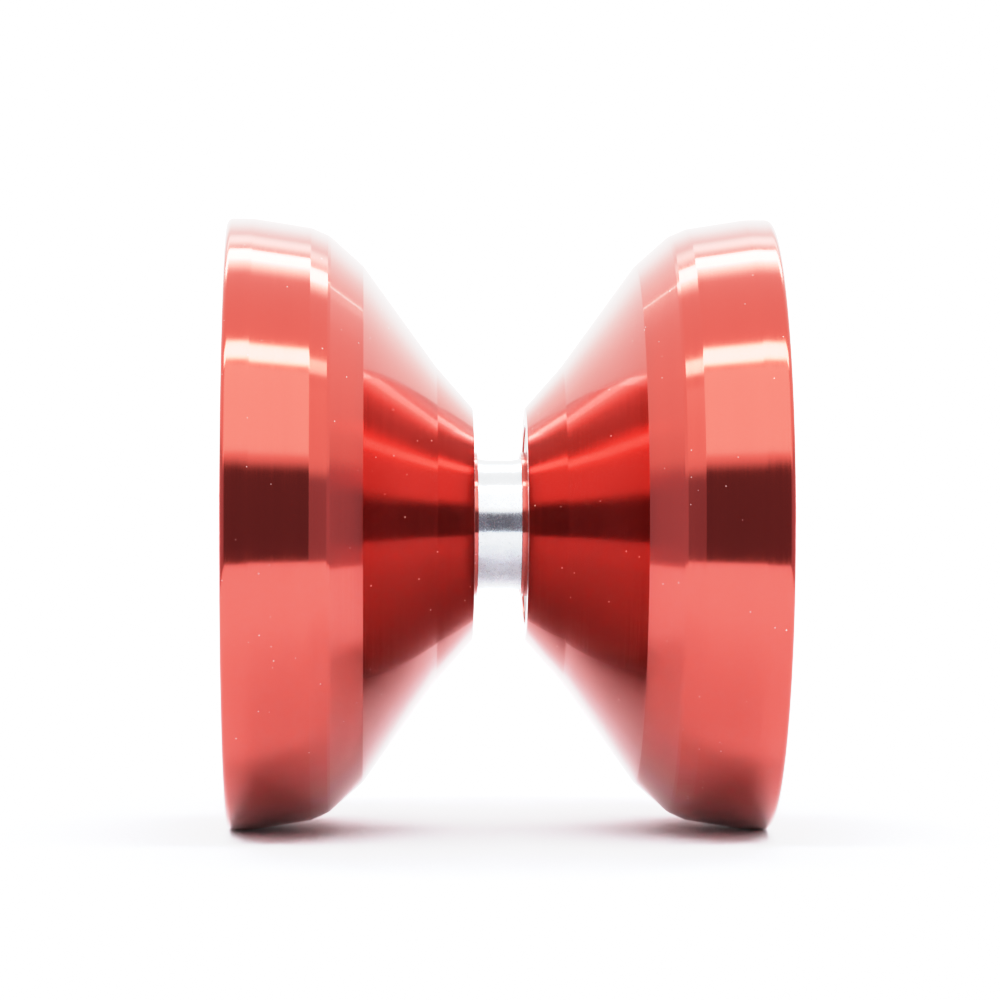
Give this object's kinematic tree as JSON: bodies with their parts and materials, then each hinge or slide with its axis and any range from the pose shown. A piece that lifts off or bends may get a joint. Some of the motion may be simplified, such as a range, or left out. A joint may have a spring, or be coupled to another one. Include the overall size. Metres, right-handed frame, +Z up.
{
  "type": "yo-yo",
  "caption": "Wide V-shaped aluminium yo-yo: two turned halves clamped by a screw axle around a small ball bearing that carries the string.",
  "frame": {"origin": "centre of the axle, in the string plane midway between the halves", "axes": "+X along the axle towards the right-hand half, +Z up"},
  "size_m": [0.052, 0.0588, 0.0588],
  "materials": {
    "anodised_shell": "turned, polished and anodised red",
    "bearing_steel": "ground and polished bearing steel",
    "shield_steel": "stamped stainless steel",
    "cage_steel": "stamped stainless steel",
    "axle_steel": "rolled stainless steel",
    "silicone_pad": "matt white silicone"
  },
  "bodies": {
    "halves": {"left_half": "anodised_shell", "right_half": "anodised_shell", "axle_screw": "axle_steel", "bearing_inner_race": "bearing_steel", "response_pad_left": "silicone_pad", "response_pad_right": "silicone_pad"},
    "outer_race": {"bearing_outer_race": "bearing_steel", "bearing_shield_left": "shield_steel", "bearing_shield_right": "shield_steel", "shield_clip_left": "shield_steel", "shield_clip_right": "shield_steel"},
    "cage": {"ball_cage": "cage_steel"},
    "ball_1": {"ball_1": "bearing_steel"},
    "ball_2": {"ball_2": "bearing_steel"},
    "ball_3": {"ball_3": "bearing_steel"},
    "ball_4": {"ball_4": "bearing_steel"},
    "ball_5": {"ball_5": "bearing_steel"},
    "ball_6": {"ball_6": "bearing_steel"},
    "ball_7": {"ball_7": "bearing_steel"},
    "ball_8": {"ball_8": "bearing_steel"}
  },
  "joints": [
    {"name": "outer_race_spin", "type": "hinge", "parent": "halves", "child": "outer_race", "pos_m": [0, 0, 0], "axis": [1, 0, 0], "continuous": true},
    {"name": "cage_spin", "type": "hinge", "parent": "halves", "child": "cage", "pos_m": [0, 0, 0], "axis": [1, 0, 0], "continuous": true},
    {"name": "ball_1_spin", "type": "hinge", "parent": "cage", "child": "ball_1", "pos_m": [0, -0.00182, 0.0044], "axis": [1, 0, 0], "continuous": true},
    {"name": "ball_2_spin", "type": "hinge", "parent": "cage", "child": "ball_2", "pos_m": [0, -0.0044, 0.00182], "axis": [1, 0, 0], "continuous": true},
    {"name": "ball_3_spin", "type": "hinge", "parent": "cage", "child": "ball_3", "pos_m": [0, -0.0044, -0.00182], "axis": [1, 0, 0], "continuous": true},
    {"name": "ball_4_spin", "type": "hinge", "parent": "cage", "child": "ball_4", "pos_m": [0, -0.00182, -0.0044], "axis": [1, 0, 0], "continuous": true},
    {"name": "ball_5_spin", "type": "hinge", "parent": "cage", "child": "ball_5", "pos_m": [0, 0.00182, -0.0044], "axis": [1, 0, 0], "continuous": true},
    {"name": "ball_6_spin", "type": "hinge", "parent": "cage", "child": "ball_6", "pos_m": [0, 0.0044, -0.00182], "axis": [1, 0, 0], "continuous": true},
    {"name": "ball_7_spin", "type": "hinge", "parent": "cage", "child": "ball_7", "pos_m": [0, 0.0044, 0.00182], "axis": [1, 0, 0], "continuous": true},
    {"name": "ball_8_spin", "type": "hinge", "parent": "cage", "child": "ball_8", "pos_m": [0, 0.00182, 0.0044], "axis": [1, 0, 0], "continuous": true}
  ],
  "couplings": [
    {"joint": "cage_spin", "follows": "outer_race_spin", "ratio": 0.5834},
    {"joint": "ball_1_spin", "follows": "outer_race_spin", "ratio": 2.9159},
    {"joint": "ball_2_spin", "follows": "outer_race_spin", "ratio": 2.9159},
    {"joint": "ball_3_spin", "follows": "outer_race_spin", "ratio": 2.9159},
    {"joint": "ball_4_spin", "follows": "outer_race_spin", "ratio": 2.9159},
    {"joint": "ball_5_spin", "follows": "outer_race_spin", "ratio": 2.9159},
    {"joint": "ball_6_spin", "follows": "outer_race_spin", "ratio": 2.9159},
    {"joint": "ball_7_spin", "follows": "outer_race_spin", "ratio": 2.9159},
    {"joint": "ball_8_spin", "follows": "outer_race_spin", "ratio": 2.9159}
  ]
}
